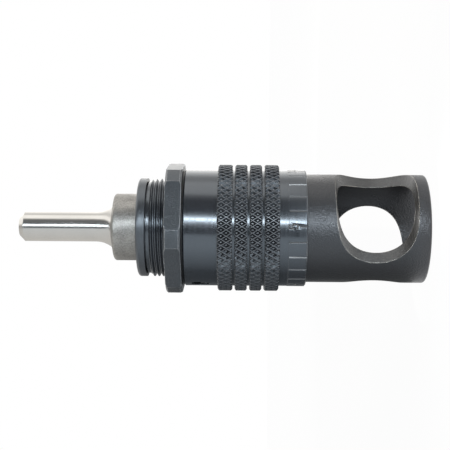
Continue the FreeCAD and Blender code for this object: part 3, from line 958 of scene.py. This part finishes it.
@dataclass
class ThreadedHousing:
    """The housing behind the nut, with its thread, keyway, relief and undercut."""

    wardrobe: Wardrobe
    relief_radius: float = 9.8 * MM
    relief_top: float = 58.75 * MM
    undercut_radius: float = 9.4 * MM
    undercut_width: float = 0.26 * MM
    thread: Thread = Thread(
        crest_radius=10.5 * MM, depth=0.55 * MM, pitch=0.94 * MM, low=50.905 * MM, high=57.8 * MM,
        end_radii=(9.85 * MM, 9.8 * MM), crest_angle=-143.7, crest_height=56.45 * MM,
        lead_chamfer=0.35 * MM, gap_angle=60.0, gap_half_width=1.0 * MM, gap_floor=9.9 * MM)

    def build(self) -> None:
        """Build the threaded housing in place of the CAD node."""
        form = copied_without("housing", self._is_worked)
        self.thread.add_to(form)
        self._add_keyway_floor(form)
        undercut = self.relief_top - self.undercut_width
        add_turned(form, [(self.relief_radius, self.thread.high), (self.relief_radius, undercut),
                          (self.undercut_radius, undercut), (self.undercut_radius, self.relief_top)])
        bmesh.ops.remove_doubles(form, verts=form.verts, dist=TINY)
        self.wardrobe.place(form, "threaded_housing", "housing", "housing", "black_oxide",
                            (GLOSS_OXIDE,), crease=50.0)

    def _is_worked(self, radii: list[float], heights: list[float]) -> bool:
        """Tell by its corners whether a CAD face is part of the plain thread, its ends or the relief."""
        inside = min(heights) > self.thread.low - 5 * TINY and max(heights) < self.relief_top + 5 * TINY
        return inside and min(radii) > self.relief_radius - LOOSE

    def _add_keyway_floor(self, form: Form) -> None:
        """Add the flat floor of the keyway, closed at the relief.

        Args:
            form: The housing's open mesh.
        """
        turn = Matrix.Rotation(math.radians(self.thread.gap_angle), 3, "Z")
        half = self.thread.gap_half_width
        inside = math.sqrt(self.relief_radius ** 2 - half ** 2)
        rows = [(self.thread.gap_floor, self.thread.low), (self.thread.gap_floor, self.thread.high),
                (inside, self.thread.high)]
        corners = [[form.verts.new(turn @ Vector((depth, side, height))) for side in (-half, half)]
                   for depth, height in rows]
        for lower, upper in zip(corners, corners[1:]):
            form.faces.new((lower[0], lower[1], upper[1], upper[0]))


@dataclass
class GroundSpindle:
    """The bare steel spindle: bright shank, satin collar and threaded cutter socket."""

    wardrobe: Wardrobe
    satin_low: float = 60.0 * MM
    satin_high: float = 66.6 * MM
    socket: Thread = Thread(
        crest_radius=2.75 * MM, depth=-0.36 * MM, pitch=25.4 * MM / 28, low=20.8 * MM, high=32.3 * MM,
        end_radii=(2.75 * MM, 2.75 * MM), columns=64)

    def build(self) -> None:
        """Build the spindle in place of the CAD node."""
        form = copied_without("spindle", self._is_socket_wall)
        self.socket.add_to(form)
        bmesh.ops.recalc_face_normals(form, faces=form.faces)
        for face in form.faces:
            top = max(vertex.co.z for vertex in face.verts)
            face.material_index = int(self.satin_low < top < self.satin_high)
        bmesh.ops.remove_doubles(form, verts=form.verts, dist=TINY)
        self.wardrobe.place(form, "ground_spindle", "spindle", "spindle", "spindle_steel",
                            (SHANK_STEEL, COLLAR_STEEL), crease=35.0)

    def _is_socket_wall(self, radii: list[float], heights: list[float]) -> bool:
        """Tell by its corners whether a CAD face is the socket's plain wall."""
        on_wall = all(abs(radius - self.socket.crest_radius) < LOOSE for radius in radii)
        return on_wall and max(heights) - min(heights) > TINY


@dataclass
class ReturnSpring:
    """The square-wire return spring, built as one rigid piece; the real one is squeezed as the spindle is
    pushed in.
    """

    wardrobe: Wardrobe
    seat_height: float = 31.0 * MM
    squeezed_share: float = 0.5095

    def build(self) -> None:
        """Build the spring in place of the CAD node, riding on the housing."""
        form = copied_without("return_spring", lambda radii, heights: False)
        spring = self.wardrobe.place(form, "square_wire_spring", "return_spring", "housing", "spring_steel",
                                     (SPRING_STEEL,), crease=40.0)
        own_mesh(spring)


Glow = tuple[float, float, float]
WHITE = (1.0, 1.0, 1.0, 1.0)
COOL = (0.86, 0.94, 1.0)
WARM = (1.0, 0.98, 0.95)
KEY_CORE = 0.86
KEY_TAIL = 0.14
KEY_TAIL_SPREAD = 3.4
KEY_FOOT = 0.15


def key_glow(centre: float, width: float, peak: float) -> list[Glow]:
    """The soft-edged strip of the key light, brightest in a narrow core.

    Args:
        centre: Its direction in degrees.
        width: The core's spread in degrees.
        peak: Its strength in the middle.

    Returns:
        Directions with their strength and coolness.
    """
    steps = (-8.0, -6.0, -4.5, -3.2, -2.2, -1.5, -1.0, -0.5, 0.0, 0.5, 1.0, 1.5, 2.2, 3.2, 4.5, 6.0, 8.0)
    core = [KEY_CORE * math.exp(-step * step) for step in steps]
    tail = [KEY_TAIL * math.exp(-(step / KEY_TAIL_SPREAD) ** 2) for step in steps]
    return [(centre + step * width, KEY_FOOT + peak * (near + far), 1.0)
            for step, near, far in zip(steps, core, tail)]


TENT_FRONT = [
    (-180, 0.25, 0.5), (-130, 0.15, 1), (-95, 0.18, 1), (-75, 0.5, 1), (-50, 0.85, 1),
    (-36, 1.05, 1), (-15, 1, 1), (-13, 0.15, 1), *key_glow(14.2, 2.2, 22),
    (35, 0.16, 0.5), (54, 0.18, 0.5), (62, 0.5, 0), (68, 1.35, 0), (97, 1.35, 0),
    (101, 0.9, 0), (116, 0.9, 0), (120, 1.3, 0), (140, 2.1, 0), (180, 2.5, 0)]
TENT_REAR = [
    (-180, 0.6, 0), (-130, 0.75, 0), (-15, 0.85, 0.5), (-11, 0.15, 1),
    *key_glow(9.5, 1.9, 13), (26, 0.18, 0.5), (50, 0.22, 0.5), (60, 0.5, 0),
    (68, 1.5, 0), (97, 1.45, 0), (101, 0.95, 0), (116, 0.9, 0), (120, 1.05, 0),
    (140, 1.4, 0), (180, 1.6, 0)]
FLOOR_BOARD = [
    (-180, 0.3, 0.5), (-160, 0.35, 0.5), (-140, 0.15, 0.5), (-115, 0.19, 0.5), (-80, 0.38, 0.5),
    (-40, 0.85, 0.7), (-20, 0.95, 1), (-9, 1.2, 1), (0, 1.9, 1), (8, 2.8, 1),
    (15, 3.1, 1), (22, 2.7, 1), (30, 1.9, 1), (40, 1.1, 0.8), (50, 0.8, 0.5),
    (70, 0.62, 0.2), (80, 0.78, 0), (120, 0.82, 0), (140, 0.9, 0), (180, 0.7, 0)]
CEILING = [(turn, 0.42, 0) for turn in (-180, 0, 180)]


@dataclass
class Studio:
    """The floor, the white surround, the light tent with its ceiling, the light board and the camera."""

    floor_radius: float = 1.6
    floor_drop: float = 0.01 * MM
    floor_corners: int = 96
    floor_shade: float = 0.85
    floor_roughness: float = 0.9
    floor_whitening: float = 0.97
    tent_radius: float = 0.34
    tent_split: float = 0.1
    tent_height: float = 1.4
    ceiling_radius: float = 0.42
    board_height: float = 0.3 * MM
    board_inside: float = 0.02
    steps_between: int = 4
    front_lean: float = 95.0
    fill_strength: float = 0.55
    camera_height: float = 0.0423
    camera_rise: float = 0.00056
    camera_distance: float = 0.2207
    camera_lean: float = 1.209
    camera_roll: float = 0.394
    lens: float = 82.3

    def build(self) -> None:
        """Build the whole studio."""
        self._world()
        self._floor()
        split = (self.tent_radius, self.tent_split)
        self._light("tent_front", TENT_FRONT, (self.tent_radius, MM), split, self.front_lean)
        self._light("tent_rear", TENT_REAR, split, (self.tent_radius, self.tent_height))
        self._light("floor_board", FLOOR_BOARD, (self.board_inside, self.board_height),
                    (self.tent_radius, self.board_height))
        self._light("ceiling", CEILING, (MM, self.tent_height), (self.ceiling_radius, self.tent_height))
        self._camera()
        bpy.context.scene.view_settings.view_transform = "Standard"

    @staticmethod
    def _seen_share(graph: Graph) -> Socket:
        """Give 1 for the rays that show the surround itself.

        Args:
            graph: The graph to place the nodes in.

        Returns:
            1 for camera, glossy and transmission rays and 0 for the rest.
        """
        path = graph.add(Node.LIGHT_PATH)
        seen = graph.maths("MAXIMUM", path["Is Camera Ray"], path["Is Glossy Ray"])
        return graph.maths("MAXIMUM", seen, path["Is Transmission Ray"])

    def _world(self) -> None:
        """Make the white surround, dimmer as a light than it looks."""
        world = bpy.data.worlds.new("white_surround")
        world.use_nodes = True
        graph = Graph(world.node_tree)
        strength = graph.ranged(self._seen_share(graph), 0.0, 1.0, self.fill_strength, 1.0)
        surround = graph.add(Node.BACKGROUND, {"Color": WHITE, "Strength": strength})
        graph.add(Node.WORLD_OUTPUT, {"Surface": surround[0]})
        bpy.context.scene.world = world

    def _floor(self) -> None:
        """Make the pale floor that the tool stands on."""
        form = bmesh.new()
        bmesh.ops.create_circle(form, cap_ends=True, segments=self.floor_corners, radius=self.floor_radius)
        for vertex in form.verts:
            vertex.co.z = -self.floor_drop
        material, graph = new_material("pale_floor")
        shade = (self.floor_shade,) * 3 + (1.0,)
        shader = graph.add(Node.PRINCIPLED, {"Base Color": shade, "Roughness": self.floor_roughness})
        glow = graph.add(Node.EMISSION, {"Color": WHITE})
        share = graph.maths("MULTIPLY", self._seen_share(graph), self.floor_whitening)
        mix = graph.add(Node.MIX_SHADER, {0: share, 1: shader[0], 2: glow[0]})
        graph.add(Node.OUTPUT, {"Surface": mix[0]})
        self._stage_piece("floor", form, material)

    def _light(self, name: str, glows: Sequence[Glow], start: Pair,
               end: Pair, lean: float = 0.0) -> None:
        """Make one glowing surface about the tool axis, which the camera doesn't see.

        Args:
            name: The surface's name.
            glows: Directions round the tool axis with their strength and coolness.
            start: The radius and the height of one of its edges.
            end: The radius and the height of the other.
            lean: How far the glows lean round the axis, in degrees per metre of height.
        """
        form = bmesh.new()
        strength = form.verts.layers.float.new("glow")
        coolness = form.verts.layers.float.new("coolness")
        shares = [step / self.steps_between for step in range(self.steps_between)]
        directions = [tuple(first + (second - first) * share for first, second in zip(glow, following))
                      for glow, following in zip(glows, glows[1:]) for share in shares]
        middle = (start[1] + end[1]) / 2
        rows = []
        for turn, glow, cool in (*directions, glows[-1]):
            row = []
            for share in (*shares, 1.0):
                radius, height = (first + (second - first) * share for first, second in zip(start, end))
                angle = math.radians(CAMERA_AZIMUTH + turn + lean * (height - middle))
                vertex = form.verts.new(polar(radius, angle, height))
                vertex[strength] = glow
                vertex[coolness] = cool
                row.append(vertex)
            rows.append(row)
        for left, right in zip(rows, rows[1:]):
            for index in range(self.steps_between):
                form.faces.new((left[index], left[index + 1], right[index + 1], right[index]))
        material, graph = new_material(name)
        cool = graph.add(Node.ATTRIBUTE, attribute_name="coolness")["Fac"]
        tone = graph.blend(cool, (*WARM, 1.0), (*COOL, 1.0))
        brightness = graph.add(Node.ATTRIBUTE, attribute_name="glow")["Fac"]
        shader = graph.add(Node.EMISSION, {"Color": tone, "Strength": brightness})
        graph.add(Node.OUTPUT, {"Surface": shader[0]})
        sheet = self._stage_piece(name, form, material)
        sheet.visible_camera = False

    @staticmethod
    def _stage_piece(name: str, form: Form, material: bpy.types.Material) -> bpy.types.Object:
        """Turn an open mesh into a piece of the studio.

        Args:
            name: The piece's name.
            form: The mesh, which is freed.
            material: Its material.

        Returns:
            The new object.
        """
        piece = as_object(name, form)
        piece.data.materials.append(material)
        return piece

    def _camera(self) -> None:
        """Set the camera square to the tool axis, which lies across the picture."""
        angle = math.radians(CAMERA_AZIMUTH + 90.0)
        right = Vector((0, 0, -1))
        up = Vector((math.cos(angle), math.sin(angle), 0))
        towards = right.cross(up)
        square = Matrix((right, up, towards)).transposed()
        lean = Matrix.Rotation(math.radians(self.camera_lean), 3, "Y")
        roll = Matrix.Rotation(math.radians(self.camera_roll), 3, "Z")
        turned = square @ lean @ roll
        camera = bpy.data.objects.new("camera", bpy.data.cameras.new("camera"))
        camera.data.lens = self.lens
        place = Vector((0, 0, self.camera_height)) + turned.col[1] * self.camera_rise
        place += turned.col[2] * self.camera_distance
        camera.matrix_world = Matrix.Translation(place) @ turned.to_4x4()
        camera.data.clip_start = MM
        bpy.context.scene.collection.objects.link(camera)
        bpy.context.scene.camera = camera


def main() -> None:
    """Build the studio and dress the tool, sub-assembly by sub-assembly."""
    logging.basicConfig(level=logging.INFO)
    Studio().build()
    wardrobe = Wardrobe()
    wardrobe.dress_nodes()
    KnurledRing(wardrobe).build()
    ThreadedHousing(wardrobe).build()
    GroundSpindle(wardrobe).build()
    ReturnSpring(wardrobe).build()


if __name__ == "__main__":
    main()
